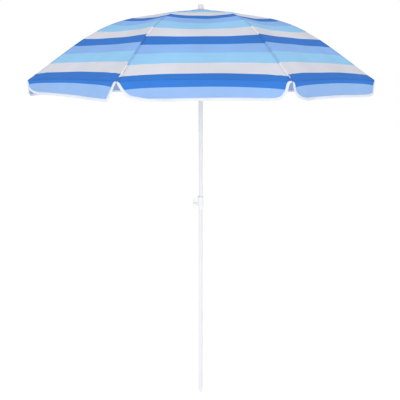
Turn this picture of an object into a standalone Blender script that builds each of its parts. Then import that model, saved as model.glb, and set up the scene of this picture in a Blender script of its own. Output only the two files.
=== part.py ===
# Beach umbrella: eight-rib canopy, telescoping pole, clamp collar. Metres, +Z up, pole on the Z axis.
import math

import bmesh
import bpy
from mathutils import Matrix, Vector

# Canopy
RIBS = 8
STEP = 2 * math.pi / RIBS
TURN = math.radians(1.0)            # turn of the whole canopy about the pole
SPAN = 0.80                         # pole axis to rib tip
TIP_Z = 1.695                       # height of the cloth at the rib tips
SLOPE_IN = 8.63                     # degrees, cloth slope near the crown
SLOPE_OUT = 35.79                   # degrees, cloth slope near the rim
BEND = (0.283, 0.807)               # where the slope changes, as shares of SPAN
CLOTH = 0.0008
SEAM_GAP = 0.0004                   # panel edge to rib plane
PANEL_START = 0.036
RIB_DROP = 0.0038                   # rib centre below the cloth
VALANCE = 0.067                     # drop of the flaps below the rim
# Height that the cloth stands off the straight line between two ribs, at shares of SPAN
BILLOW = ((0.0, 0.0), (0.085, 0.0), (0.17, 0.0034), (0.25, 0.0042), (0.33, 0.0008), (0.41, -0.0064),
          (0.47, -0.0106), (0.54, -0.0118), (0.63, -0.0083), (0.70, -0.0045), (0.76, -0.0024), (0.82, 0.0002),
          (0.89, 0.0024), (0.96, 0.0066), (1.0, 0.0080))

# Linkage: crown and runner pivots stand at the same radius, and both links have the same length
PIVOT_R = 0.024
CROWN_Z = 2.0100
RIB_R = 0.0022
STAY_R = 0.0021
LUG_AT = 0.384                      # pole axis to the stretcher lug
LUG_DROP = 0.0095                   # lug pivot below the rib centre
EYE_R = 0.0038
EYE_HOLE = 0.0016
EYE_THICK = 0.0024
FLANGE_R = 0.0285
SLOT = 0.0034
WIRE_R = 0.0009

# Pole
LOWER_R = 0.0125
UPPER_R = 0.0110
WALL = 0.0009
LOWER_START = 0.0560
LOWER_END = 1.1075
UPPER_START = 0.780
COLLAR = (1.057, 1.120)
KNOB_Z = 1.082
RUNNER_LENGTH = 0.056
CATCH_ARM = 0.040
CAP_TOP = 2.042


def slope_at(rho):
    share = (rho / SPAN - BEND[0]) / (BEND[1] - BEND[0])
    share = min(max(share, 0.0), 1.0)
    return math.radians(SLOPE_IN + (SLOPE_OUT - SLOPE_IN) * share * share * (3 - 2 * share))


def cloth_height(rho):
    """Height of the cloth over a rib, summed inwards from the rib tip."""
    steps = 160
    length = (SPAN - rho) / steps
    return TIP_Z + sum(math.tan(slope_at(rho + (n + 0.5) * length)) for n in range(steps)) * length


def billow(rho):
    share = rho / SPAN
    for (a, low), (b, high) in zip(BILLOW, BILLOW[1:]):
        if share <= b:
            return low + (high - low) * (share - a) / (b - a)
    return BILLOW[-1][1]


def under_cloth(rho, drop):
    """A point at the given depth under the cloth, square to it, in the plane of a rib."""
    lean = slope_at(rho)
    return Vector((rho - drop * math.sin(lean), 0, cloth_height(rho) - drop * math.cos(lean)))


LUG = under_cloth(LUG_AT, RIB_DROP + LUG_DROP)
RUNNER_Z = 2 * LUG.z - CROWN_Z
LINK = (LUG - Vector((PIVOT_R, 0, CROWN_Z))).length
FOLD_START = math.asin((CROWN_Z - LUG.z) / LINK)
CATCH_TOP = RUNNER_Z - RUNNER_LENGTH - 0.0008


def rib_turn(k):
    """Azimuth of rib k, counted from 1 and anticlockwise from above."""
    return math.radians(-90) + TURN + STEP * (k - 1.5)


def clear_scene():
    for ob in list(bpy.data.objects):
        bpy.data.objects.remove(ob, do_unlink=True)


def collection(name):
    made = bpy.data.collections.new(name)
    bpy.context.scene.collection.children.link(made)
    return made


def material(name, colour, roughness, metallic=0.0):
    made = bpy.data.materials.new(name)
    made.use_nodes = True
    surface = made.node_tree.nodes["Principled BSDF"]
    surface.inputs["Base Color"].default_value = (*colour, 1)
    surface.inputs["Roughness"].default_value = roughness
    surface.inputs["Metallic"].default_value = metallic
    return made


def new_object(name, mesh, into, paint=None):
    ob = bpy.data.objects.new(name, mesh)
    into.objects.link(ob)
    if paint:
        mesh.materials.clear()
        mesh.materials.append(paint)
    return ob


def mesh_of(bm, name):
    bmesh.ops.remove_doubles(bm, verts=bm.verts, dist=1e-6)
    bmesh.ops.recalc_face_normals(bm, faces=bm.faces)
    mesh = bpy.data.meshes.new(name)
    bm.to_mesh(mesh)
    bm.free()
    return mesh


def turned(name, outline, steps, into, paint=None):
    """A closed outline of (radius, height) spun about the Z axis."""
    bm = bmesh.new()
    points = [bm.verts.new((r, 0, z)) for r, z in outline]
    edges = [bm.edges.new(pair) for pair in zip(points, points[1:] + points[:1])]
    edges = [e for e in edges if e.verts[0].co.x > 1e-9 or e.verts[1].co.x > 1e-9]
    bmesh.ops.spin(bm, geom=points + edges, cent=(0, 0, 0), axis=(0, 0, 1), dvec=(0, 0, 0),
                   angle=2 * math.pi, steps=steps, use_merge=False)
    bmesh.ops.delete(bm, geom=[e for e in bm.edges if not e.link_faces], context="EDGES")
    return new_object(name, mesh_of(bm, name), into, paint)


def prism(name, outline, half, into, paint=None):
    """A closed outline of (x, z) given thickness along Y, half to each side."""
    bm = bmesh.new()
    face = bm.faces.new([bm.verts.new((x, -half, z)) for x, z in outline])
    grown = bmesh.ops.extrude_face_region(bm, geom=[face])["geom"]
    moved = [v for v in grown if isinstance(v, bmesh.types.BMVert)]
    bmesh.ops.translate(bm, verts=moved, vec=(0, 2 * half, 0))
    return new_object(name, mesh_of(bm, name), into, paint)


def rod(name, start, end, radius, sides, into, paint=None):
    """A cylinder between two points."""
    start, end = Vector(start), Vector(end)
    bm = bmesh.new()
    along = (end - start).to_track_quat("Z", "Y").to_matrix().to_4x4()
    bmesh.ops.create_cone(bm, cap_ends=True, segments=sides, radius1=radius, radius2=radius,
                          depth=(end - start).length,
                          matrix=Matrix.Translation((start + end) / 2) @ along)
    return new_object(name, mesh_of(bm, name), into, paint)


def bar(name, points, radius, into, paint=None):
    """A round bar along a line of points, made a mesh."""
    curve = bpy.data.curves.new(name + "_line", "CURVE")
    curve.dimensions = "3D"
    curve.bevel_depth = radius
    curve.bevel_resolution = 2
    curve.use_fill_caps = True
    line = curve.splines.new("POLY")
    line.points.add(len(points) - 1)
    for point, place in zip(line.points, points):
        point.co = (*place, 1)
    carrier = bpy.data.objects.new(name + "_line", curve)
    into.objects.link(carrier)
    mesh = bpy.data.meshes.new_from_object(carrier)
    bpy.data.objects.remove(carrier, do_unlink=True)
    bm = bmesh.new()
    bm.from_mesh(mesh)
    return new_object(name, mesh_of(bm, name), into, paint)


def combine(ob, other, how):
    """Boolean that is settled into the mesh at once, so that copies can share it."""
    change = ob.modifiers.new(how.lower(), "BOOLEAN")
    change.operation = how
    change.solver = "EXACT"
    change.object = other
    settle(ob)
    bpy.data.objects.remove(other, do_unlink=True)


def settle(ob):
    bpy.context.view_layer.update()
    seen = ob.evaluated_get(bpy.context.evaluated_depsgraph_get())
    mesh = bpy.data.meshes.new_from_object(seen)
    ob.modifiers.clear()
    ob.data = mesh


def rounded(ob, width, segments=2):
    edge = ob.modifiers.new("edges", "BEVEL")
    edge.width = width
    edge.segments = segments
    edge.limit_method = "ANGLE"
    settle(ob)


def place_round(pattern, stem, count, radius, height, into, middle=False):
    """Copies of a pattern round the pole, each with its origin on its own pivot."""
    for k in range(1, count + 1):
        turn = rib_turn(k) + (STEP / 2 if middle else 0)
        ob = bpy.data.objects.new(f"{stem}_{k}", pattern.data)
        ob.location = (radius * math.cos(turn), radius * math.sin(turn), height)
        ob.rotation_euler = (0, 0, turn)
        into.objects.link(ob)
    bpy.data.objects.remove(pattern, do_unlink=True)


def tube(name, radius, low, high, into, paint):
    inner = radius - WALL
    return turned(name, [(radius, high), (radius, low), (inner, low), (inner, high)], 32, into, paint)


def slotted_disc(name, outline, centre_z, into, paint, cutters):
    """A turned hub with a slot for every rib and a groove for the wire that threads them."""
    hub = turned(name, outline, 32, into, paint)
    for k in range(1, RIBS + 1):
        turn = Matrix.Rotation(rib_turn(k), 4, "Z")
        bm = bmesh.new()
        bmesh.ops.create_cube(bm, size=1, matrix=turn @ Matrix.Translation((0.0255, 0, centre_z))
                              @ Matrix.Diagonal((0.0130, SLOT, 0.0120, 1)))
        cutter = new_object("slot_cutter", mesh_of(bm, "slot_cutter"), cutters)
        combine(hub, cutter, "DIFFERENCE")
    return hub


def hub_outline(z):
    """Outer side of a slotted disc, from its top to its underside."""
    return [(FLANGE_R, z + 0.0045), (FLANGE_R, z + 0.0012), (0.0228, z + 0.0012),
            (0.0228, z - 0.0012), (FLANGE_R, z - 0.0012), (FLANGE_R, z - 0.0045)]


def ring(name, z, into, paint):
    """Wire ring that threads the eyes in a slotted disc."""
    sides = 8
    outline = [(PIVOT_R + WIRE_R * math.cos(2 * math.pi * n / sides),
                z + WIRE_R * math.sin(2 * math.pi * n / sides)) for n in range(sides)]
    return turned(name, outline, 40, into, paint)


def eye(name, x, reach, into):
    """Flat eye at (x, 0) and the bar that joins it to a rod, which reaches from x."""
    plate = rod(name, (x, -EYE_THICK / 2, 0), (x, EYE_THICK / 2, 0), EYE_R, 14, into)
    low, high = sorted((x, x + reach))
    box = [(low, -0.0019), (high, -0.0019), (high, 0.0019), (low, 0.0019)]
    combine(plate, prism(name + "_bar", box, EYE_THICK / 2 - 0.0001, into), "UNION")
    hole = rod(name + "_hole", (x, -0.01, 0), (x, 0.01, 0), EYE_HOLE, 12, into)
    combine(plate, hole, "DIFFERENCE")
    return plate


def make_ribs(into, cutters, paint):
    crown = Vector((PIVOT_R, 0, CROWN_Z))
    stations = [0.036 + (0.790 - 0.036) * n / 13 for n in range(14)]
    line = [under_cloth(rho, RIB_DROP) - crown for rho in stations]
    pattern = bar("rib_pattern", line, RIB_R, into, paint)
    arm = eye("rib_eye", 0, 0.019, cutters)
    arm.data.transform(Matrix.Rotation(-math.atan2(line[0].z, line[0].x), 4, "Y"))
    combine(pattern, arm, "UNION")
    at = LUG - crown
    lean = slope_at(LUG_AT)
    lug = rod("lug", (0, -0.0010, 0), (0, 0.0010, 0), 0.0032, 12, cutters)
    web = [(-0.0029, 0), (0.0029, 0), (0.0042, LUG_DROP - 0.0005), (-0.0042, LUG_DROP - 0.0005)]
    combine(lug, prism("lug_web", web, 0.0009, cutters), "UNION")
    combine(lug, rod("lug_hole", (0, -0.01, 0), (0, 0.01, 0), 0.0015, 10, cutters), "DIFFERENCE")
    lug.data.transform(Matrix.Translation(at) @ Matrix.Rotation(lean, 4, "Y"))
    combine(pattern, lug, "UNION")
    place_round(pattern, "rib", RIBS, PIVOT_R, CROWN_Z, into)


def make_rib_tips(into, cutters, paint):
    """Plastic end caps, bored for the rib ends."""
    crown = Vector((PIVOT_R, 0, CROWN_Z))
    start = under_cloth(0.774, RIB_DROP)
    end = under_cloth(0.796, RIB_DROP)
    length = (end - start).length
    cap = turned("tip_pattern", [(0, length), (0.0022, length), (0.0030, length - 0.0012), (0.0030, 0.002),
                                 (0.0027, 0), (0, 0)], 10, into, paint)
    bore = rod("tip_bore", (0, 0, -0.001), (0, 0, length - 0.0045), RIB_R + 0.0003, 10, cutters)
    combine(cap, bore, "DIFFERENCE")
    aim = (end - start).to_track_quat("Z", "Y").to_matrix().to_4x4()
    cap.data.transform(Matrix.Translation(start - crown) @ aim)
    place_round(cap, "rib_tip", RIBS, PIVOT_R, CROWN_Z, into)


def make_stretchers(into, cutters, paint):
    """Links from the rib lugs to the runner, drawn along +X and then aimed."""
    pattern = bar("stretcher_pattern", [(0.011, 0, 0), (LINK / 2, 0, 0), (LINK - 0.012, 0, 0)], STAY_R,
                  into, paint)
    combine(pattern, eye("stretcher_eye", LINK, -0.0185, cutters), "UNION")
    for side in (-1, 1):
        y = side * 0.0020
        cheek = rod("cheek", (0, y - 0.0006, 0), (0, y + 0.0006, 0), 0.0032, 12, cutters)
        strip = prism("cheek_strip", [(0, -0.0026), (0.014, -0.0026), (0.014, 0.0026), (0, 0.0026)],
                      0.0005, cutters)
        strip.data.transform(Matrix.Translation((0, y, 0)))
        combine(cheek, strip, "UNION")
        combine(pattern, cheek, "UNION")
    bridge = prism("bridge", [(0.0095, -0.0023), (0.0146, -0.0023), (0.0146, 0.0023), (0.0095, 0.0023)],
                   0.0021, cutters)
    combine(pattern, bridge, "UNION")
    combine(pattern, rod("rivet", (0, -0.0034, 0), (0, 0.0034, 0), 0.0011, 8, cutters), "UNION")
    for side in (-1, 1):
        head = rod("rivet_head", (0, side * 0.0024, 0), (0, side * 0.0036, 0), 0.0020, 8, cutters)
        combine(pattern, head, "UNION")
    pattern.data.transform(Matrix.Rotation(math.pi - FOLD_START, 4, "Y"))
    place_round(pattern, "stretcher", RIBS, LUG.x, LUG.z, into)


def make_panels(into, paint):
    """One gore: flat across between its two ribs, but for the cloth's own rise and sag."""
    half = STEP / 2
    across, along = 6, 13
    bm = bmesh.new()
    bmesh.ops.create_grid(bm, x_segments=along, y_segments=across, size=1)
    for v in bm.verts:
        rho = PANEL_START + (SPAN - PANEL_START) * (v.co.x + 1) / 2
        side = v.co.y
        x = rho * math.cos(half) - PIVOT_R * math.cos(half)
        y = side * (rho * math.sin(half) - SEAM_GAP / math.cos(half) - CLOTH / 2)
        v.co = (x, y, cloth_height(rho) + billow(rho) * (1 - side * side) - CROWN_Z)
    pattern = new_object("panel_pattern", mesh_of(bm, "panel_pattern"), into, paint)
    thicken(pattern)
    place_round(pattern, "panel", RIBS, PIVOT_R * math.cos(half), CROWN_Z, into, middle=True)


def thicken(ob):
    wall = ob.modifiers.new("cloth", "SOLIDIFY")
    wall.thickness = CLOTH
    wall.offset = 0
    wall.use_even_offset = False
    settle(ob)


def make_valances(into, paint):
    """Flaps that hang from the rim, cut back and rounded at their lower corners."""
    half = STEP / 2
    bm = bmesh.new()
    bmesh.ops.create_grid(bm, x_segments=3, y_segments=8, size=1)
    reach = SPAN * math.sin(half) - 0.0025
    for v in bm.verts:
        depth = (v.co.x + 1) / 2
        side = v.co.y
        cut = 0.014 * depth + 0.040 * max(0.0, depth - 0.45) ** 2 / 0.3
        top = -0.0014 + billow(SPAN) * (1 - side * side)
        y = side * (reach - cut)
        v.co = (0.0006, y, top + (-VALANCE - top) * depth)
    pattern = new_object("valance_pattern", mesh_of(bm, "valance_pattern"), into, paint)
    thicken(pattern)
    place_round(pattern, "valance", RIBS, SPAN * math.cos(half), TIP_Z, into, middle=True)


def make_pole(into, cutters, paints):
    tube("lower_tube", LOWER_R, LOWER_START, LOWER_END, into, paints["pole"])
    hole = rod("screw_hole", (-0.02, 0, KNOB_Z), (-0.005, 0, KNOB_Z), 0.0031, 16, cutters)
    combine(bpy.data.objects["lower_tube"], hole, "DIFFERENCE")
    tube("upper_tube", UPPER_R, UPPER_START, CROWN_Z - 0.0048, into, paints["pole"])
    low, high = CATCH_TOP - CATCH_ARM + 0.006, CATCH_TOP + 0.002
    opening = [(-0.0017, low), (0.0017, low), (0.0017, high), (-0.0017, high)]
    window = prism("catch_window", opening, 0.006, cutters)
    window.data.transform(Matrix.Translation((0, 0.011, 0)))
    combine(bpy.data.objects["upper_tube"], window, "DIFFERENCE")
    turned("ground_plug", [(0, 0.090), (0.0098, 0.090), (0.0112, 0.086), (0.0112, 0.0557), (0.0129, 0.0557),
                           (0.0129, 0.034), (0.0072, 0.0115), (0.0040, 0.0085), (0.0034, 0.0), (0, 0.0)],
           32, into, paints["plug"])
    turned("tube_plug", [(0, 0.800), (0.0088, 0.800), (0.0097, 0.797), (0.0097, 0.7797), (0.0112, 0.7797),
                         (0.0112, 0.776), (0.0102, 0.773), (0, 0.773)], 24, into, paints["plug"])


def make_clamp(into, cutters, paints):
    low, high = COLLAR
    collar = turned("clamp_collar", [(0.0114, high), (0.0146, high), (0.0157, high - 0.003),
                                     (0.0157, low + 0.012), (0.0146, low), (0.0128, low),
                                     (0.0128, LOWER_END + 0.0003), (0.0114, LOWER_END + 0.0003)],
                    32, into, paints["clamp"])
    boss = prism("boss", [(-0.0195, 1.072), (-0.0135, 1.066), (-0.0135, 1.1195), (-0.0180, 1.1195),
                          (-0.0195, 1.1165)], 0.0080, cutters)
    rounded(boss, 0.0012)
    combine(collar, boss, "UNION")
    bore = rod("boss_bore", (-0.03, 0, KNOB_Z), (-0.005, 0, KNOB_Z), 0.0029, 16, cutters)
    combine(collar, bore, "DIFFERENCE")
    rod("clamp_screw", (-0.0315, 0, KNOB_Z), (-0.0113, 0, KNOB_Z), 0.0025, 16, into, paints["steel"])
    outline = [(-0.0225, -0.008), (-0.0245, -0.016), (-0.0275, -0.026), (-0.0325, -0.029), (-0.0375, -0.026),
               (-0.0410, -0.014), (-0.0420, 0.0), (-0.0410, 0.014), (-0.0375, 0.026), (-0.0325, 0.029),
               (-0.0275, 0.026), (-0.0245, 0.016), (-0.0225, 0.008)]
    knob = prism("clamp_knob", outline, 0.0036, into, paints["clamp"])
    rounded(knob, 0.0012)
    side = [(0, 0.0385), (0.0072, 0.0385), (0.0085, 0.0365), (0.0085, 0.0204), (0, 0.0204)]
    barrel = turned("barrel", side, 20, cutters)
    barrel.data.transform(Matrix.Rotation(-math.pi / 2, 4, "Y"))
    combine(knob, barrel, "UNION")
    bore = rod("knob_bore", (-0.0318, 0, 0), (-0.015, 0, 0), 0.0028, 16, cutters)
    combine(knob, bore, "DIFFERENCE")
    knob.location = (0, 0, KNOB_Z)


def make_crown(into, cutters, paints):
    outline = [(0.0034, CROWN_Z + 0.0045), *hub_outline(CROWN_Z), (0.0098, CROWN_Z - 0.0045),
               (0.0098, CROWN_Z - 0.038), (0.0090, CROWN_Z - 0.040), (0.0034, CROWN_Z - 0.040)]
    slotted_disc("crown", outline, CROWN_Z, into, paints["hub"], cutters)
    ring("crown_ring", CROWN_Z, into, paints["steel"])
    patch = [(0.0052, 2.0172), (0.0160, 2.0168), (0.0300, 2.0155), (0.0460, 2.0122)]
    sheet = [(r, z + CLOTH / 2) for r, z in patch] + [(r, z - CLOTH / 2) for r, z in reversed(patch)]
    turned("top_patch", sheet, 32, into, paints["cloth"])
    turned("top_cap", [(0, CAP_TOP), (0.0060, CAP_TOP - 0.0004), (0.0105, CAP_TOP - 0.0020),
                       (0.0132, CAP_TOP - 0.0060), (0.0140, CAP_TOP - 0.0120), (0.0140, CAP_TOP - 0.0215),
                       (0.0128, 2.0182), (0.0030, 2.0182), (0.0030, CROWN_Z - 0.022), (0, CROWN_Z - 0.022)],
           32, into, paints["clamp"])


def make_runner(into, cutters, paints):
    z = RUNNER_Z
    outline = [(0.0114, z + 0.0045), *hub_outline(z), (0.0165, z - 0.0085), (0.0150, z - 0.0130),
               (0.0150, z - 0.0470), (0.0170, z - 0.0490), (0.0170, z - RUNNER_LENGTH),
               (0.0114, z - RUNNER_LENGTH)]
    slotted_disc("runner", outline, z, into, paints["hub"], cutters)
    ring("runner_ring", z, into, paints["steel"])


def make_catch(into, cutters, paints):
    """Tongue in the upper tube that holds the runner up. It leans in about a pin across the tube."""
    arm = CATCH_ARM
    outline = [(0.0025, -0.0025), (0.0032, 0.004), (0.0085, 0.018), (0.0115, arm - 0.004), (0.0115, arm),
               (0.0008, arm), (-0.0016, 0.010), (-0.0025, -0.0025)]
    catch = prism("catch_spring", [(-y, z) for y, z in outline], 0.0012, into, paints["steel"])
    combine(catch, rod("catch_hole", (0, -0.01, 0), (0, 0.01, 0), 0.0012, 14, cutters), "DIFFERENCE")
    catch.data.transform(Matrix.Rotation(-math.pi / 2, 4, "Z"))
    catch.location = (0, 0.0045, CATCH_TOP - arm)
    rod("catch_pin", (-0.0082, 0.0045, CATCH_TOP - arm), (0.0082, 0.0045, CATCH_TOP - arm), 0.0009, 12,
        into, paints["steel"])


def build():
    clear_scene()
    umbrella = collection("beach_umbrella")
    cutters = collection("cutters")
    paints = {
        "pole": material("pole_paint", (0.86, 0.87, 0.88), 0.35),
        "clamp": material("white_plastic", (0.88, 0.88, 0.88), 0.4),
        "plug": material("plug_plastic", (0.84, 0.85, 0.86), 0.45),
        "hub": material("hub_plastic", (0.80, 0.80, 0.80), 0.45),
        "steel": material("steel", (0.62, 0.63, 0.65), 0.35, 1.0),
        "frame": material("frame_paint", (0.78, 0.79, 0.80), 0.4),
        "cloth": material("blue_cloth", (0.06, 0.19, 0.61), 0.85),
        "flap": material("flap_cloth", (0.38, 0.58, 0.86), 0.85),
        "tip": material("tip_plastic", (0.86, 0.87, 0.88), 0.4),
    }
    make_pole(umbrella, cutters, paints)
    make_clamp(umbrella, cutters, paints)
    make_crown(umbrella, cutters, paints)
    make_runner(umbrella, cutters, paints)
    make_catch(umbrella, cutters, paints)
    make_ribs(umbrella, cutters, paints["frame"])
    make_rib_tips(umbrella, cutters, paints["tip"])
    make_stretchers(umbrella, cutters, paints["frame"])
    make_panels(umbrella, paints["cloth"])
    make_valances(umbrella, paints["flap"])
    for ob in cutters.objects:
        ob.hide_render = True
        ob.display_type = "WIRE"


build()
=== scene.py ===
import math
import random

import bmesh
import bpy
from mathutils import Matrix, Vector


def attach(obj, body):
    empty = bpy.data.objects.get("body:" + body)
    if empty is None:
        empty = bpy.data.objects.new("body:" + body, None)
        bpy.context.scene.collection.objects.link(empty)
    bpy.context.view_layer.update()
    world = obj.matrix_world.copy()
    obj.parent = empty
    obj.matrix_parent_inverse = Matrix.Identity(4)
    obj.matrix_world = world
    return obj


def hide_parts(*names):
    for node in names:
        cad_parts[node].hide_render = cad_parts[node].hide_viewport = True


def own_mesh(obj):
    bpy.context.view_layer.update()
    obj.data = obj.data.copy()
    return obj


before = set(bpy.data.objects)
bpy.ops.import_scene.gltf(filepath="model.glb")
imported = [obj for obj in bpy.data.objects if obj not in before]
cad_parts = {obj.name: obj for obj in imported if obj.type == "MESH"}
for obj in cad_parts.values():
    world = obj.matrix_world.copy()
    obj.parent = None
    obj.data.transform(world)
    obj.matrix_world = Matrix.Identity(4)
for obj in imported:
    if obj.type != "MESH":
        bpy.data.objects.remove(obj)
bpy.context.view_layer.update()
print("stage: frame loaded,", len(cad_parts), "nodes")

fullTurn = 2 * math.pi

canopy = {
    "ribs": 8,
    "turn": math.radians(1.0),       # the whole canopy about the pole
    "span": 0.80,                    # pole axis to rib tip
    "rimZ": 1.695,
    "crownZ": 2.010,
    "innerSlope": 8.63,              # degrees, near the crown
    "outerSlope": 35.79,             # degrees, near the rim
    "bendFrom": 0.283,
    "bendTo": 0.807,
    "start": 0.037,                  # inner edge of every gore, under the top patch
    "thickness": 0.0007,
    # how far the cloth stands off the straight line between two ribs, at shares of the span
    "rise": (
        (0.0, 0.0), (0.085, 0.0), (0.17, 0.0034), (0.25, 0.0042), (0.33, 0.0008), (0.41, -0.0064),
        (0.47, -0.0106), (0.54, -0.0118), (0.63, -0.0083), (0.70, -0.0045), (0.76, -0.0024),
        (0.82, 0.0002), (0.89, 0.0024), (0.96, 0.0066), (1.0, 0.0080),
    ),
    "keepFolded": 0.26,
    "flatLength": 0.795,             # of a gore's cloth, along its middle
    "rimPull": 0.006,                # the bands run out towards the rib tips
    # how far they slip towards the crown at a gore's left and right seam
    "bandSlip": {1: (-0.003, 0.002), 2: (0.002, 0.001), 3: (0.0, -0.002), 4: (0.002, 0.0), 5: (-0.002, 0.002),
                 6: (0.001, 0.003), 7: (-0.001, -0.002), 8: (0.002, 0.004)},
    # how far the bands of each gore sit towards the crown, at reaches from it, because it is cut by hand
    "bandShift": {
        1: ((0.0, 0.0), (0.50, 0.0015), (0.56, 0.001), (0.61, -0.002), (0.71, -0.0038), (0.77, -0.0022),
            (0.80, -0.0032)),
        2: ((0.0, 0.0), (0.33, 0.001), (0.50, 0.006), (0.56, 0.009), (0.61, 0.007), (0.71, 0.0035),
            (0.77, 0.0055), (0.80, 0.0053)),
        3: ((0.0, 0.0), (0.40, 0.003), (0.80, 0.001)),
        4: ((0.0, 0.0), (0.45, -0.002), (0.80, 0.002)),
        5: ((0.0, 0.0), (0.35, 0.001), (0.80, -0.002)),
        6: ((0.0, 0.0), (0.50, 0.004), (0.80, 0.003)),
        7: ((0.0, 0.0), (0.45, -0.001), (0.80, -0.003)),
        8: ((0.0, 0.0), (0.33, 0.001), (0.50, 0.005), (0.56, 0.0085), (0.61, 0.009), (0.71, 0.009),
            (0.77, 0.0112), (0.80, 0.0065)),
    },
    # how much further they sit there at the right of the gore than in its middle, fading out at the rim
    "bandTilt": {1: 0.0045, 2: -0.0035, 6: 0.002, 8: -0.0015},
}
halfGore = math.pi / canopy["ribs"]
rimHalf = canopy["span"] * math.sin(halfGore)     # half the chord between two rib tips
seamShare = 0.9995                                # cloth stops this near to the seam's middle

# Band edges from the crown outwards, in metres along the rib's reach, with the colour that starts there
stripeBands = (
    (0.000, "sky"), (0.015, "white"), (0.083, "deep"), (0.138, "mid"), (0.197, "sky"), (0.263, "white"),
    (0.3296, "deep"), (0.377, "mid"), (0.434, "sky"), (0.5016, "white"), (0.560, "deep"), (0.6090, "mid"),
    (0.656, "sky"), (0.7104, "white"), (0.7688, "deep"), (0.8200, "mid"),
)
dyes = {
    "deep": (0.040, 0.195, 0.640),
    "mid": (0.275, 0.490, 0.900),
    "sky": (0.320, 0.620, 0.920),
    "white": (0.715, 0.725, 0.800),
}


def slopeAt(reach):
    share = (reach / canopy["span"] - canopy["bendFrom"]) / (canopy["bendTo"] - canopy["bendFrom"])
    share = min(max(share, 0.0), 1.0)
    bend = share * share * (3 - 2 * share)
    return math.radians(canopy["innerSlope"] + (canopy["outerSlope"] - canopy["innerSlope"]) * bend)


def heightTable(steps=400):
    length = canopy["span"] / steps
    heights = [canopy["rimZ"]]
    for n in range(steps):
        heights.append(heights[-1] + math.tan(slopeAt(canopy["span"] - (n + 0.5) * length)) * length)
    return heights[::-1]


ribHeights = heightTable()


def heightAt(reach):
    place = min(max(reach / canopy["span"], 0.0), 1.0) * (len(ribHeights) - 1)
    low = min(int(place), len(ribHeights) - 2)
    return ribHeights[low] + (ribHeights[low + 1] - ribHeights[low]) * (place - low)


def smoothTable(table, at):
    # a curve through every point of the table, without corners
    at = min(max(at, table[0][0]), table[-1][0])
    n = 0
    while n < len(table) - 2 and at > table[n + 1][0]:
        n += 1
    a, b = table[n], table[n + 1]
    before, after = table[max(n - 1, 0)], table[min(n + 2, len(table) - 1)]
    width = b[0] - a[0]
    leave = (b[1] - before[1]) / (b[0] - before[0]) * width
    arrive = (after[1] - a[1]) / (after[0] - a[0]) * width
    t = (at - a[0]) / width
    start, end = 2 * t ** 3 - 3 * t ** 2 + 1, 3 * t ** 2 - 2 * t ** 3
    return start * a[1] + (t ** 3 - 2 * t ** 2 + t) * leave + end * b[1] + (t ** 3 - t ** 2) * arrive


def riseAt(reach):
    return smoothTable(canopy["rise"], reach / canopy["span"])


def bandAt(k, reach, side):
    # where a place on gore k falls on the printed bands
    left, right = canopy["bandSlip"][k]
    slip = left * max(0.0, -side) ** 3 + right * max(0.0, side) ** 3
    share = reach / canopy["span"]
    pull = canopy["rimPull"] * abs(side) ** 5 * share ** 5
    shift = smoothTable(canopy["bandShift"][k], reach)
    tilt = canopy["bandTilt"].get(k, 0.0) * side * share * min(1.0, (1 - share) * 12)
    return reach + slip * math.sin(math.pi * min(share, 1.0)) - pull + shift + tilt


def ribTurn(k):
    return math.radians(-90) + canopy["turn"] + 2 * halfGore * (k - 1.5)


# heights of the creases in the cloth, and the distances over which they grow from a seam and fade out
crease = {
    "tip": 0.0016, "tipFolds": 13, "tipReach": 0.34, "tipFade": 0.11, "tipGrow": 0.03, "tipClear": 0.012,
    "pucker": 0.0005, "puckerPitch": 0.031, "puckerFade": 0.014, "puckerGrow": 0.004,
    "swell": 0.0010, "ripple": 0.0006,
}


def wrinkleAt(k, reach, side):
    # fans of soft creases from the rib tips, and small puckers along the sewn edges
    width = reach * math.sin(halfGore)
    total = 0.0
    for end in (-1, 1):
        across = (1 - side * end) * width
        back = (canopy["span"] - reach) * 1.2
        far = math.hypot(across, back)
        if far < crease["tipReach"]:
            angle = math.atan2(back, across + 1e-6)
            grow = min(1.0, far / crease["tipGrow"]) * min(1.0, across / crease["tipClear"])
            fan = math.sin(angle * crease["tipFolds"] + k * 1.7 + end)
            total += crease["tip"] * math.exp(-far / crease["tipFade"]) * grow * fan
        fade = math.exp(-across / crease["puckerFade"]) * min(1.0, across / crease["puckerGrow"])
        gather = math.sin(reach * fullTurn / crease["puckerPitch"] + k * 2.1 + end * 0.8)
        total += crease["pucker"] * fade * gather
    slack = 1 - side * side
    total += crease["swell"] * math.sin(reach * 9 + k * 1.3) * slack
    total += crease["ripple"] * math.sin(side * 7 + reach * 23 + k) * slack
    return total


def goreLocal(k, reach, side):
    # x along the middle of the gore, y across it
    x = reach * math.cos(halfGore)
    y = side * reach * math.sin(halfGore)
    z = heightAt(reach) + riseAt(reach) * (1 - side * side) + wrinkleAt(k, reach, side)
    return Vector((x, y, z))


def goreMatrix(k):
    return Matrix.Rotation(ribTurn(k) + halfGore, 4, "Z")


def newMaterial(name):
    made = bpy.data.materials.new(name)
    made.use_nodes = True
    tree = made.node_tree
    return made, tree, tree.nodes["Principled BSDF"]


def node(tree, kind, **settings):
    made = tree.nodes.new(kind)
    for key, value in settings.items():
        if key in made.inputs:
            made.inputs[key].default_value = value
        else:
            setattr(made, key, value)
    return made


def mathNode(tree, operation, first, second=None):
    made = tree.nodes.new("ShaderNodeMath")
    made.operation = operation
    for socket, value in zip(made.inputs, (first, second)):
        if value is None:
            continue
        if isinstance(value, (int, float)):
            socket.default_value = value
        else:
            tree.links.new(value, socket)
    return made.outputs[0]


def mixColour(tree, blend, amount, first, second):
    made = tree.nodes.new("ShaderNodeMix")
    made.data_type = "RGBA"
    made.blend_type = blend
    for socket, value in zip((made.inputs[0], made.inputs[6], made.inputs[7]), (amount, first, second)):
        if isinstance(value, (int, float, tuple)):
            socket.default_value = value
        else:
            tree.links.new(value, socket)
    return made.outputs[2]


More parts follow.
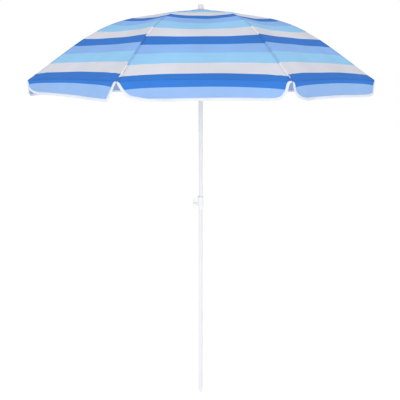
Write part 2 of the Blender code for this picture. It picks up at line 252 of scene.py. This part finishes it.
def rangeNode(tree, value, low, high, start=0.0, end=1.0):
    # value from start to end becomes low to high
    limits = {"From Min": start, "From Max": end, "To Min": low, "To Max": high}
    made = node(tree, "ShaderNodeMapRange", **limits)
    tree.links.new(value, made.inputs["Value"])
    return made.outputs[0]


def shaded(tree, level, colour):
    # a colour, or a colour socket, times a grey level
    grade = tree.nodes.new("ShaderNodeCombineXYZ")
    for n in range(3):
        tree.links.new(level, grade.inputs[n])
    return mixColour(tree, "MULTIPLY", 1.0, colour, grade.outputs[0])


def weaveHeight(tree, coords, pitch):
    # warp over weft, as two crossed fine waves
    warp = node(tree, "ShaderNodeTexWave", wave_type="BANDS", bands_direction="X", Scale=pitch)
    weft = node(tree, "ShaderNodeTexWave", wave_type="BANDS", bands_direction="Y", Scale=pitch)
    tree.links.new(coords, warp.inputs["Vector"])
    tree.links.new(coords, weft.inputs["Vector"])
    return mathNode(tree, "MULTIPLY", warp.outputs["Fac"], weft.outputs["Fac"])


stitches = {"perMetre": 260.0, "dash": 0.68}


def stitchRow(tree, across, along, at, half):
    # a row of lock stitch, at a distance across the cloth and twice half wide
    near = mathNode(tree, "COMPARE", across, at)
    near.node.inputs[2].default_value = half
    pitch = mathNode(tree, "MULTIPLY", along, stitches["perMetre"])
    dash = mathNode(tree, "LESS_THAN", mathNode(tree, "FRACT", pitch), stitches["dash"])
    return mathNode(tree, "MULTIPLY", near, dash)


def stripedCloth(name, shade, grey, stitched=False, other=()):
    made, tree, surface = newMaterial(name)
    coords = node(tree, "ShaderNodeUVMap", uv_map="cloth").outputs["UV"]
    parts = tree.nodes.new("ShaderNodeSeparateXYZ")
    tree.links.new(coords, parts.inputs[0])
    ramp = tree.nodes.new("ShaderNodeValToRGB")
    ramp.color_ramp.interpolation = "CONSTANT"
    slots = ramp.color_ramp.elements
    while len(slots) > 1:
        slots.remove(slots[-1])
    bath = {**dyes, **dict(other)}
    # shade scales every dye; below one it is painted shade on that copy of the cloth
    for n, (start, dye) in enumerate(stripeBands):
        slot = slots[0] if n == 0 else slots.new(start)
        slot.position = start
        flat = sum(bath[dye]) / 3
        slot.color = (*[(c * (1 - grey) + flat * grey) * shade for c in bath[dye]], 1)
    tree.links.new(parts.outputs["Y"], ramp.inputs["Fac"])
    # dye lots and handling: broad faint clouds
    cloud = node(tree, "ShaderNodeTexNoise", Scale=6.0, Detail=3.0)
    tree.links.new(coords, cloud.inputs["Vector"])
    tone = rangeNode(tree, cloud.outputs["Fac"], 0.94, 1.05, 0.3, 0.7)
    # painted shade between the threads: the colour darkens where the weave's height is low
    weave = weaveHeight(tree, coords, 320.0)
    level = mathNode(tree, "MULTIPLY", tone, rangeNode(tree, weave, 0.95, 1.03))
    colour = shaded(tree, level, ramp.outputs["Color"])
    height = weave
    if stitched:
        # one row on each side of the middle
        out = mathNode(tree, "ABSOLUTE", parts.outputs["X"])
        stitch = stitchRow(tree, out, parts.outputs["Y"], 0.0027, 0.00035)
        pale = mixColour(tree, "MIX", 0.35, colour, (0.70, 0.74, 0.84, 1))
        colour = mixColour(tree, "MIX", stitch, colour, pale)
        height = mathNode(tree, "ADD", weave, mathNode(tree, "MULTIPLY", stitch, 2.0))
    tree.links.new(colour, surface.inputs["Base Color"])
    tree.links.new(rangeNode(tree, cloud.outputs["Fac"], 0.72, 0.86), surface.inputs["Roughness"])
    surface.inputs["Specular IOR Level"].default_value = 0.12
    bump = node(tree, "ShaderNodeBump", Strength=0.35, Distance=0.0004)
    tree.links.new(height, bump.inputs["Height"])
    tree.links.new(bump.outputs[0], surface.inputs["Normal"])
    return made


def tapeCloth(name, colour):
    made, tree, surface = newMaterial(name)
    coords = node(tree, "ShaderNodeUVMap", uv_map="cloth").outputs["UV"]
    parts = tree.nodes.new("ShaderNodeSeparateXYZ")
    tree.links.new(coords, parts.inputs[0])
    ribbed = node(tree, "ShaderNodeTexWave", wave_type="BANDS", bands_direction="X", Scale=260.0)
    tree.links.new(coords, ribbed.inputs["Vector"])
    mottle = node(tree, "ShaderNodeTexNoise", Scale=30.0, Detail=2.0)
    tree.links.new(coords, mottle.inputs["Vector"])
    shade = shaded(tree, rangeNode(tree, mottle.outputs["Fac"], 0.93, 1.03), (*colour, 1))
    stitch = stitchRow(tree, parts.outputs["Y"], parts.outputs["X"], 0.0078, 0.00045)
    shade = mixColour(tree, "MIX", stitch, shade, (0.55, 0.58, 0.66, 1))
    tree.links.new(shade, surface.inputs["Base Color"])
    surface.inputs["Roughness"].default_value = 0.75
    surface.inputs["Specular IOR Level"].default_value = 0.25
    bump = node(tree, "ShaderNodeBump", Strength=0.4, Distance=0.0003)
    tree.links.new(mathNode(tree, "ADD", ribbed.outputs["Fac"], stitch), bump.inputs["Height"])
    tree.links.new(bump.outputs[0], surface.inputs["Normal"])
    return made


def paintedTube(name, colour, roughness):
    # stoved white paint: faint orange peel, handling marks and fine lengthwise scuffs
    made, tree, surface = newMaterial(name)
    coords = tree.nodes.new("ShaderNodeTexCoord").outputs["Object"]
    stretch = node(tree, "ShaderNodeMapping", Scale=(90.0, 90.0, 7.0))
    tree.links.new(coords, stretch.inputs["Vector"])
    scuff = node(tree, "ShaderNodeTexNoise", Scale=1.0, Detail=5.0, Roughness=0.65)
    tree.links.new(stretch.outputs[0], scuff.inputs["Vector"])
    mark = rangeNode(tree, scuff.outputs["Fac"], 1.0, 0.93, 0.35, 0.75)
    tree.links.new(shaded(tree, mark, (*colour, 1)), surface.inputs["Base Color"])
    rough = rangeNode(tree, scuff.outputs["Fac"], roughness - 0.07, roughness + 0.10)
    tree.links.new(rough, surface.inputs["Roughness"])
    surface.inputs["Coat Weight"].default_value = 0.25
    surface.inputs["Coat Roughness"].default_value = 0.2
    peel = node(tree, "ShaderNodeTexNoise", Scale=420.0, Detail=1.0)
    tree.links.new(coords, peel.inputs["Vector"])
    bump = node(tree, "ShaderNodeBump", Strength=0.12, Distance=0.0002)
    tree.links.new(peel.outputs["Fac"], bump.inputs["Height"])
    tree.links.new(bump.outputs[0], surface.inputs["Normal"])
    return made


def mouldedPlastic(name, colour, roughness):
    # injection-moulded: fine spark texture with slightly shinier worn patches
    made, tree, surface = newMaterial(name)
    coords = tree.nodes.new("ShaderNodeTexCoord").outputs["Object"]
    grain = node(tree, "ShaderNodeTexVoronoi", Scale=1500.0)
    tree.links.new(coords, grain.inputs["Vector"])
    flow = node(tree, "ShaderNodeTexNoise", Scale=45.0, Detail=3.0)
    tree.links.new(coords, flow.inputs["Vector"])
    level = rangeNode(tree, flow.outputs["Fac"], 0.96, 1.02, 0.3, 0.7)
    tree.links.new(shaded(tree, level, (*colour, 1)), surface.inputs["Base Color"])
    rough = rangeNode(tree, flow.outputs["Fac"], roughness - 0.10, roughness + 0.08)
    tree.links.new(rough, surface.inputs["Roughness"])
    bump = node(tree, "ShaderNodeBump", Strength=0.18, Distance=0.0002)
    tree.links.new(grain.outputs["Distance"], bump.inputs["Height"])
    tree.links.new(bump.outputs[0], surface.inputs["Normal"])
    return made


def drawnSteel(name, colour):
    made, tree, surface = newMaterial(name)
    coords = tree.nodes.new("ShaderNodeTexCoord").outputs["Object"]
    lines = node(tree, "ShaderNodeMapping", Scale=(60.0, 60.0, 900.0))
    tree.links.new(coords, lines.inputs["Vector"])
    grain = node(tree, "ShaderNodeTexNoise", Scale=1.0, Detail=4.0)
    tree.links.new(lines.outputs[0], grain.inputs["Vector"])
    level = rangeNode(tree, grain.outputs["Fac"], 0.85, 1.05)
    tree.links.new(shaded(tree, level, (*colour, 1)), surface.inputs["Base Color"])
    surface.inputs["Metallic"].default_value = 1.0
    tree.links.new(rangeNode(tree, grain.outputs["Fac"], 0.25, 0.5), surface.inputs["Roughness"])
    return made


canopyOutside = stripedCloth("canopy outside", 1.0, 0.0)
# the underside is the outside's print greyed, and darkened by 0.92 as painted shade
canopyInside = stripedCloth("canopy inside", 0.92, 0.40)
# the flaps' copy of the gore cloth, a little darker and its mid blue dulled: painted shade on the hanging
# flaps
flapOutside = stripedCloth("flap outside", 0.98, 0.0, other={"mid": (0.295, 0.478, 0.815)})
# the seam's blues are darker, painted shade in the crease along the rib, and its white stretches whiter, a
# painted highlight on the ridge; the whole seam is darkened a little more as painted shade
seamShadeAndHighlight = {"deep": (0.030, 0.150, 0.540), "mid": (0.215, 0.410, 0.800), "sky": (0.275, 0.545, 0.850),
            "white": (0.880, 0.890, 0.950)}
seamCloth = stripedCloth("sewn seam", 0.95, 0.0, stitched=True, other=seamShadeAndHighlight)
# the patch's sky band is greyed: painted shade on the crown round the top cap
patchCloth = stripedCloth("patch cloth", 1.0, 0.0, other={"sky": (0.600, 0.670, 0.760)})
hemTape = tapeCloth("hem tape", (0.72, 0.77, 0.88))
polePaint = paintedTube("white pole paint", (0.80, 0.80, 0.80), 0.34)
framePaint = paintedTube("white frame paint", (0.70, 0.71, 0.73), 0.42)
clampPlastic = mouldedPlastic("white clamp plastic", (0.83, 0.83, 0.83), 0.42)
plugPlastic = mouldedPlastic("ground plug plastic", (0.78, 0.79, 0.81), 0.5)
hubPlastic = mouldedPlastic("hub plastic", (0.72, 0.72, 0.73), 0.48)
springSteel = drawnSteel("spring steel", (0.62, 0.63, 0.65))
print("stage: materials made")


def pieceFrom(bm, name, materials, body):
    mesh = bpy.data.meshes.new(name)
    bm.to_mesh(mesh)
    bm.free()
    for each in materials:
        mesh.materials.append(each)
    mesh.polygons.foreach_set("use_smooth", [True] * len(mesh.polygons))
    piece = bpy.data.objects.new(name, mesh)
    bpy.context.scene.collection.objects.link(piece)
    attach(piece, body)
    return piece


def shapedGrid(along, across, place, texture):
    # a flat grid whose points are then laid where the cloth runs; x runs 0 to 1, y runs -1 to 1
    bm = bmesh.new()
    bmesh.ops.create_grid(bm, x_segments=along, y_segments=across, size=1)
    share = {v: ((v.co.x + 1) / 2, v.co.y) for v in bm.verts}
    layer = bm.loops.layers.uv.new("cloth")
    for face in bm.faces:
        for loop in face.loops:
            loop[layer].uv = texture(*share[loop.vert])
    for v, (a, b) in share.items():
        v.co = place(a, b)
    return bm


def wall(piece, thickness, inside=0):
    cloth = piece.modifiers.new("cloth thickness", "SOLIDIFY")
    cloth.thickness = thickness
    cloth.offset = 0
    cloth.material_offset = inside
    return piece


clothStep = 0.7     # sets the weave of one gore off from the next


def makeGore(k):
    turn = goreMatrix(k)

    def reachAt(share):
        return canopy["start"] + (canopy["span"] - canopy["start"]) * share

    def place(share, side):
        return turn @ goreLocal(k, reachAt(share), side * seamShare)

    def texture(share, side):
        reach = reachAt(share)
        return (side * reach * math.sin(halfGore) + k * clothStep, bandAt(k, reach, side))

    gore = pieceFrom(shapedGrid(72, 36, place, texture), f"canopyGore_{k}", (canopyOutside, canopyInside),
                     f"panel_cloth_{k}")
    wall(gore, canopy["thickness"], inside=1)
    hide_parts(f"panel_{k}")
    return gore


flap = {
    "drop": 0.0655,
    "turnUp": 0.008,                 # cloth turned up inside the tape
    "fold": 0.06,                    # share of the drop that the fold at the rim takes
    "foldOut": 0.0016,
    "foldIn": 0.0004,
    "flare": 0.004,
    "wave": 0.0022,
    "sway": 0.0015,
    # how far each end is cut back from the rib tip, at shares of the drop; every flap is trimmed by hand
    "ends": {
        (1, -1): ((0, 0), (0.18, 0.005), (0.45, 0.016), (0.63, 0.026), (0.8, 0.04), (0.9, 0.062), (1, 0.105)),
        (1, 1): ((0, 0), (0.08, 0.009), (0.17, 0.012), (0.5, 0.017), (0.77, 0.028), (0.92, 0.04), (1, 0.062)),
        (2, -1): ((0, 0), (0.28, 0.004), (0.55, 0.01), (0.7, 0.02), (0.87, 0.041), (0.95, 0.061), (1, 0.085)),
        (2, 1): ((0, 0), (0.50, 0.004), (0.85, 0.010), (0.95, 0.020), (1, 0.045)),
        (8, -1): ((0, 0), (0.55, 0.006), (0.66, 0.015), (0.80, 0.030), (0.92, 0.054), (1, 0.085)),
        (8, 1): ((0, 0), (0.50, 0.027), (0.92, 0.051), (1, 0.059)),
    },
    # share of the drop left at both ends and the middle, where a flap hangs unevenly
    "hang": {1: (1.0, 1.0, 0.98), 2: (1.0, 0.99, 0.98), 3: (1.0, 1.02, 1.06), 4: (1.06, 1.08, 1.08),
             5: (1.08, 1.05, 1.10), 6: (1.10, 1.06, 1.04), 7: (1.02, 1.0, 1.0), 8: (0.80, 0.93, 1.05)},
}


def flapCut(k, depth, side):
    looks = random.Random(40 + 2 * k + (side > 0))
    slant, corner = 0.018 + 0.012 * looks.random(), 0.030 + 0.015 * looks.random()
    usual = ((0.0, 0.0), (0.2, slant * 0.3), (0.6, slant * 0.7), (0.8, slant), (0.93, slant + corner * 0.4),
             (1.0, slant + corner))
    return smoothTable(flap["ends"].get((k, 1 if side > 0 else -1), usual), depth)


def flapPoint(k, depth, side):
    x = canopy["span"] * math.cos(halfGore)
    rim = canopy["rimZ"] + riseAt(canopy["span"]) * (1 - side * side) + wrinkleAt(k, canopy["span"], side)
    # the fold is a small round, then the cloth hangs with a slight flare and a slow wave
    fold = min(1.0, depth / flap["fold"])
    x += flap["foldOut"] * math.sin(fold * math.pi / 2) - flap["foldIn"]
    x += flap["flare"] * depth * depth * (0.4 + 0.6 * abs(side))
    x += flap["wave"] * depth * math.sin(side * 8.5 + k * 1.9) * (0.5 + depth)
    y = side * (rimHalf * seamShare - flapCut(k, depth, side))
    left, middle, right = flap["hang"][k]
    hang = smoothTable(((-1, left), (0, middle), (1, right)), side)
    low = canopy["rimZ"] - flap["drop"] * hang + flap["sway"] * math.sin(side * 3.1 + k)
    return Vector((x, y, rim + (low - rim) * depth))


def flapOver(k, y, z):
    # the place on flap k that lies straight behind a given height and width
    edge = rimHalf * seamShare
    depth, side = 0.5, y / edge
    for _ in range(8):
        side = min(max(y / (edge - flapCut(k, min(max(depth, 0.0), 1.0), y)), -1.03), 1.03)
        top, low = flapPoint(k, 0.0, side).z, flapPoint(k, 1.0, side).z
        depth = (top - z) / (top - low)
    place = flapPoint(k, min(max(depth, 0.0), 1.02), side)
    return Vector((place.x, y, z))


def makeFlap(k):
    turn = goreMatrix(k)

    def texture(depth, side):
        return (side * rimHalf + k * clothStep, bandAt(k, canopy["span"], side) + depth * flap["drop"])

    piece = pieceFrom(shapedGrid(20, 56, lambda depth, side: turn @ flapPoint(k, depth, side), texture),
                      f"canopyFlap_{k}", (flapOutside, canopyInside), f"valance_cloth_{k}")
    wall(piece, canopy["thickness"], inside=1)
    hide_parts(f"valance_{k}")
    return piece


# the binding tape round the free edges of a flap; it narrows into the tack at each rib tip
binding = {"width": 0.0105, "thick": 0.0019, "over": 0.0006, "narrow": 0.45, "narrowOver": 0.020,
           "from": 0.012, "look": 0.006}


def hemPath(k):
    # down one end of the flap, along its foot and up the other end
    top, ends, foot = binding["from"], 16, 60
    depths = [top + (1 - top) * n / ends for n in range(ends + 1)]
    path = [flapPoint(k, depth, -1) for depth in depths]
    path += [flapPoint(k, 1, -1 + 2 * n / foot) for n in range(1, foot)]
    path += [flapPoint(k, depth, 1) for depth in reversed(depths)]
    return path


def makeHemTape(k):
    turn = goreMatrix(k)
    path = hemPath(k)
    # even spacing along the path
    lengths = [0.0]
    for a, b in zip(path, path[1:]):
        lengths.append(lengths[-1] + (b - a).length)

    def pointAt(distance):
        for n in range(1, len(path)):
            if distance <= lengths[n] or n == len(path) - 1:
                share = (distance - lengths[n - 1]) / max(1e-9, lengths[n] - lengths[n - 1])
                return path[n - 1].lerp(path[n], min(max(share, 0), 1))

    middle = Vector((path[0].x, 0, canopy["rimZ"] + 0.01))

    def place(share, side):
        distance = share * lengths[-1]
        here = pointAt(distance)
        after, before = min(lengths[-1], distance + binding["look"]), max(0, distance - binding["look"])
        ahead = pointAt(after) - pointAt(before)
        inward = Vector((0, ahead.z, -ahead.y)).normalized()
        if inward.dot(middle - here) < 0:
            inward = -inward
        tuck = min(1.0, binding["narrow"] + min(distance, lengths[-1] - distance) / binding["narrowOver"])
        spot = here + inward * ((side + 1) / 2 * binding["width"] * tuck - binding["over"])
        return turn @ flapOver(k, spot.y, spot.z)

    def texture(share, side):
        return (share * lengths[-1], (side + 1) / 2 * binding["width"])

    tape = pieceFrom(shapedGrid(150, 4, place, texture), f"hemTape_{k}", (hemTape,),
                     f"valance_cloth_{k}")
    wall(tape, binding["thick"])
    return tape


def besideRib(k, side):
    # the gore on that side of rib k, and which of its own edges lies on the rib
    return ((k - 2) % canopy["ribs"] + 1, 1) if side < 0 else (k, -1)


def clothByRib(k, reach, side, across, lift):
    # a place on the cloth at a distance across from rib k, lifted off it
    owner, end = besideRib(k, side)
    at = goreMatrix(owner) @ goreLocal(owner, reach, end * (1 - across / (reach * math.sin(halfGore))))
    lean, turn = slopeAt(reach), ribTurn(k)
    up = Vector((math.sin(lean) * math.cos(turn), math.sin(lean) * math.sin(turn), math.cos(lean)))
    return at + up * lift


def bandByRib(k, reach, side):
    owner, end = besideRib(k, side)
    return bandAt(owner, reach, end)


seam = {"width": 0.0092, "lift": 0.0005, "ridge": 0.0005, "thickness": 0.0006, "from": 0.047, "to": 0.7988}


def makeSeam(k):
    # the felled seam between the gore before rib k and the gore after it
    def reachAt(share):
        return seam["from"] + (seam["to"] - seam["from"]) * share

    def place(share, side):
        lift = seam["lift"] + seam["ridge"] * (1 - abs(side))
        return clothByRib(k, reachAt(share), side, abs(side) * seam["width"] / 2, lift)

    def texture(share, side):
        return (side * seam["width"] / 2, bandByRib(k, reachAt(share), side))

    piece = pieceFrom(shapedGrid(96, 6, place, texture), f"sewnSeam_{k}", (seamCloth,),
                      f"rib_arm_{k}")
    return wall(piece, seam["thickness"])


allowance = {"width": 0.022, "under": 0.00078, "thickness": 0.0006, "from": 0.052, "to": 0.764}


def makeAllowance(k):
    # the turned-in cloth of the seam, stitched flat under it
    def reachAt(share):
        return allowance["from"] + (allowance["to"] - allowance["from"]) * share

    def place(share, side):
        reach = reachAt(share)
        across = min(abs(side) * allowance["width"] / 2, reach * math.sin(halfGore) * 0.8)
        return clothByRib(k, reach, side, across, -allowance["under"])

    def texture(share, side):
        return (side * allowance["width"] / 2 + 0.3, bandByRib(k, reachAt(share), side))

    piece = pieceFrom(shapedGrid(96, 8, place, texture), f"seamAllowance_{k}", (canopyOutside, canopyInside),
                      f"rib_arm_{k}")
    return wall(piece, allowance["thickness"], inside=1)


def underRib(k, reach, lean, drop):
    # lays a piece made along Z at a drop under the cloth of rib k, pointing down the slope
    aim = Vector((math.cos(lean), 0, -math.sin(lean))).to_track_quat("Z", "Y").to_matrix().to_4x4()
    start = Vector((reach - drop * math.sin(lean), 0, heightAt(reach) - drop * math.cos(lean)))
    return Matrix.Rotation(ribTurn(k), 4, "Z") @ Matrix.Translation(start) @ aim


def paintFlat(bm, spot):
    # cloth coordinates for a small piece, from where each corner lies
    layer = bm.loops.layers.uv.new("cloth")
    for face in bm.faces:
        for loop in face.loops:
            loop[layer].uv = spot(loop.vert.co)


# a sleeve over each rib tip: half its width and height, where its open end lies, and the rings along it
pocket = {"length": 0.034, "half": (0.0054, 0.0037), "back": 0.770, "slopeFrom": 0.78, "drop": 0.0040,
          "rings": 6, "straight": 4, "thickness": 0.0006}


def makePocket(k):
    bm = bmesh.new()
    bmesh.ops.create_circle(bm, cap_ends=False, segments=18, radius=1.0)
    bmesh.ops.scale(bm, vec=(pocket["half"][1], pocket["half"][0], 1), verts=bm.verts)
    rim = bm.edges[:]
    for n in range(pocket["rings"]):
        grown = bmesh.ops.extrude_edge_only(bm, edges=rim)["geom"]
        ring = [g for g in grown if isinstance(g, bmesh.types.BMVert)]
        rim = [g for g in grown if isinstance(g, bmesh.types.BMEdge) and all(v in ring for v in g.verts)]
        bmesh.ops.translate(bm, vec=(0, 0, pocket["length"] / pocket["rings"]), verts=ring)
        middle = sum((v.co for v in ring), Vector()) / len(ring)
        shrink = 0.97 if n < pocket["straight"] else 0.86
        bmesh.ops.scale(bm, vec=(shrink, shrink, 1), verts=ring, space=Matrix.Translation(-middle))
    bmesh.ops.contextual_create(bm, geom=rim)
    bmesh.ops.recalc_face_normals(bm, faces=bm.faces)
    paintFlat(bm, lambda at: (at.y + at.x, at.z))
    place = underRib(k, pocket["back"], slopeAt(pocket["slopeFrom"]), pocket["drop"])
    bmesh.ops.transform(bm, matrix=place, verts=bm.verts)
    piece = pieceFrom(bm, f"ribPocket_{k}", (hemTape,), f"rib_arm_{k}")
    return wall(piece, pocket["thickness"])


# thread ties round each rib, at reaches from the crown
ties = {"at": (0.20, 0.50, 0.65), "ring": 0.0032, "thread": 0.0005, "drop": 0.0034}


def makeTie(k, n, reach):
    bm = bmesh.new()
    section = Matrix.Translation((ties["ring"], 0, 0)) @ Matrix.Rotation(math.pi / 2, 4, "X")
    bmesh.ops.create_circle(bm, cap_ends=False, segments=6, radius=ties["thread"], matrix=section)
    bmesh.ops.spin(bm, geom=bm.verts[:] + bm.edges[:], cent=(0, 0, 0), axis=(0, 0, 1), angle=fullTurn,
                   steps=14, use_merge=True)
    bmesh.ops.remove_doubles(bm, verts=bm.verts, dist=1e-6)
    bmesh.ops.recalc_face_normals(bm, faces=bm.faces)
    paintFlat(bm, lambda at: (at.x + 0.01, at.y))
    bmesh.ops.transform(bm, matrix=underRib(k, reach, slopeAt(reach), ties["drop"]), verts=bm.verts)
    return pieceFrom(bm, f"ribTie_{k}_{n}", (hemTape,), f"rib_arm_{k}")


seams = {k: makeSeam(k) for k in range(1, canopy["ribs"] + 1)}
allowances = {k: makeAllowance(k) for k in range(1, canopy["ribs"] + 1)}
for k in range(1, canopy["ribs"] + 1):
    gore = makeGore(k)
    goreFlap = makeFlap(k)
    tape = makeHemTape(k)
    pocketPiece = makePocket(k)
    tiePieces = [makeTie(k, n, reach) for n, reach in enumerate(ties["at"], 1)]
    for cloth in (gore, goreFlap, tape):
        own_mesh(cloth)
print("stage: canopy sewn,", canopy["ribs"], "gores and flaps")


finishes = {
    "lower_tube": polePaint, "upper_tube": polePaint, "ground_plug": plugPlastic, "tube_plug": plugPlastic,
    "clamp_collar": clampPlastic, "clamp_knob": clampPlastic, "clamp_screw": springSteel,
    "crown": hubPlastic, "crown_ring": springSteel, "top_cap": clampPlastic, "catch_pin": springSteel,
    "catch_spring": springSteel, "runner": hubPlastic, "runner_ring": springSteel,
    "rib": framePaint, "stretcher": framePaint, "rib_tip": clampPlastic,
}
for name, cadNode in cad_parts.items():
    family = name.rsplit("_", 1)[0]
    finish = finishes.get(name) or finishes.get(family)
    if finish:
        for slot in cadNode.material_slots:
            slot.material = finish
print("stage: frame and pole finished")


# the profile of the round patch over the crown, as radius and height, and how far it dips between the ribs
patch = {"points": ((0.0054, 2.0173), (0.016, 2.0170), (0.030, 2.0157), (0.039, 2.0139), (0.0457, 2.0124)),
         "thickness": 0.0008, "dip": 0.0006, "flatFrom": 0.025, "dipOver": 0.021, "across": 0.092,
         "bandFrom": 0.205}


def makePatch():
    bm = bmesh.new()
    line = [bm.verts.new((r, 0, z)) for r, z in patch["points"]]
    edges = [bm.edges.new(pair) for pair in zip(line, line[1:])]
    bmesh.ops.subdivide_edges(bm, edges=edges, cuts=2)
    bmesh.ops.spin(bm, geom=bm.verts[:] + bm.edges[:], cent=(0, 0, 0), axis=(0, 0, 1), angle=fullTurn,
                   steps=64, use_merge=True)
    bmesh.ops.remove_doubles(bm, verts=bm.verts, dist=1e-6)
    for v in bm.verts:
        out = math.hypot(v.co.x, v.co.y)
        turn = math.atan2(v.co.y, v.co.x)
        wave = (1 - math.cos((turn - ribTurn(1)) * canopy["ribs"])) / 2
        v.co.z -= patch["dip"] * max(0.0, (out - patch["flatFrom"]) / patch["dipOver"]) * wave
    bmesh.ops.recalc_face_normals(bm, faces=bm.faces)
    paintFlat(bm, lambda at: (math.atan2(at.y, at.x) * 0.04, patch["bandFrom"] + math.hypot(at.x, at.y)))
    piece = pieceFrom(bm, "topPatch", (patchCloth, canopyInside), "upper_pole")
    wall(piece, patch["thickness"], inside=1)
    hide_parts("top_patch")


makePatch()
print("stage: top patch made")


studio = {
    "floor": (0.93, 0.93, 0.94), "floorGlow": 0.30, "skyLevel": 0.86, "backdropLevel": 1.0,
    "aim": (0, 0, 1.6),
    "lights": (("keyLight", (-2.2, -3.4, 3.6), 3.0, 12), ("frontLight", (0.3, -5.2, 1.6), 3.2, 46),
               ("backLight", (0.4, 3.4, 3.2), 3.0, 6)),
}
view = {"at": (-0.0035, -2.624, 1.7142), "pitch": 13.15, "lens": 47.79, "sensor": 36.0}


def makeFloor():
    bm = bmesh.new()
    bmesh.ops.create_grid(bm, x_segments=4, y_segments=4, size=14)
    mesh = bpy.data.meshes.new("studioFloor")
    bm.to_mesh(mesh)
    bm.free()
    floor = bpy.data.objects.new("studioFloor", mesh)
    bpy.context.scene.collection.objects.link(floor)
    made, tree, surface = newMaterial("studio floor")
    surface.inputs["Base Color"].default_value = (*studio["floor"], 1)
    surface.inputs["Roughness"].default_value = 0.9
    surface.inputs["Emission Color"].default_value = (1, 1, 1, 1)
    surface.inputs["Emission Strength"].default_value = studio["floorGlow"]
    mesh.materials.append(made)


def makeSky():
    world = bpy.data.worlds.new("studioWorld")
    world.use_nodes = True
    tree = world.node_tree
    soft = tree.nodes["Background"]
    soft.inputs[1].default_value = studio["skyLevel"]
    plain = node(tree, "ShaderNodeBackground", Strength=studio["backdropLevel"])
    for light in (soft, plain):
        light.inputs[0].default_value = (1, 1, 1, 1)
    seen = tree.nodes.new("ShaderNodeLightPath").outputs["Is Camera Ray"]
    both = tree.nodes.new("ShaderNodeMixShader")
    for socket, source in zip(both.inputs, (seen, soft.outputs[0], plain.outputs[0])):
        tree.links.new(source, socket)
    tree.links.new(both.outputs[0], tree.nodes["World Output"].inputs[0])
    bpy.context.scene.world = world
    bpy.context.scene.view_settings.view_transform = "Standard"


def makeLights():
    for name, place, size, power in studio["lights"]:
        lamp = bpy.data.lights.new(name, "AREA")
        lamp.size = size
        lamp.energy = power
        holder = bpy.data.objects.new(name, lamp)
        holder.location = place
        holder.rotation_euler = (Vector(studio["aim"]) - Vector(place)).to_track_quat("-Z", "Y").to_euler()
        bpy.context.scene.collection.objects.link(holder)


def makeCamera():
    lens = bpy.data.cameras.new("viewCamera")
    lens.lens = view["lens"]
    lens.sensor_width = view["sensor"]
    lens.clip_end = 60
    camera = bpy.data.objects.new("viewCamera", lens)
    camera.location = view["at"]
    camera.rotation_euler = (math.radians(90 - view["pitch"]), 0, 0)
    bpy.context.scene.collection.objects.link(camera)
    bpy.context.scene.camera = camera


makeFloor()
makeSky()
makeLights()
makeCamera()
print("stage: studio and camera set")
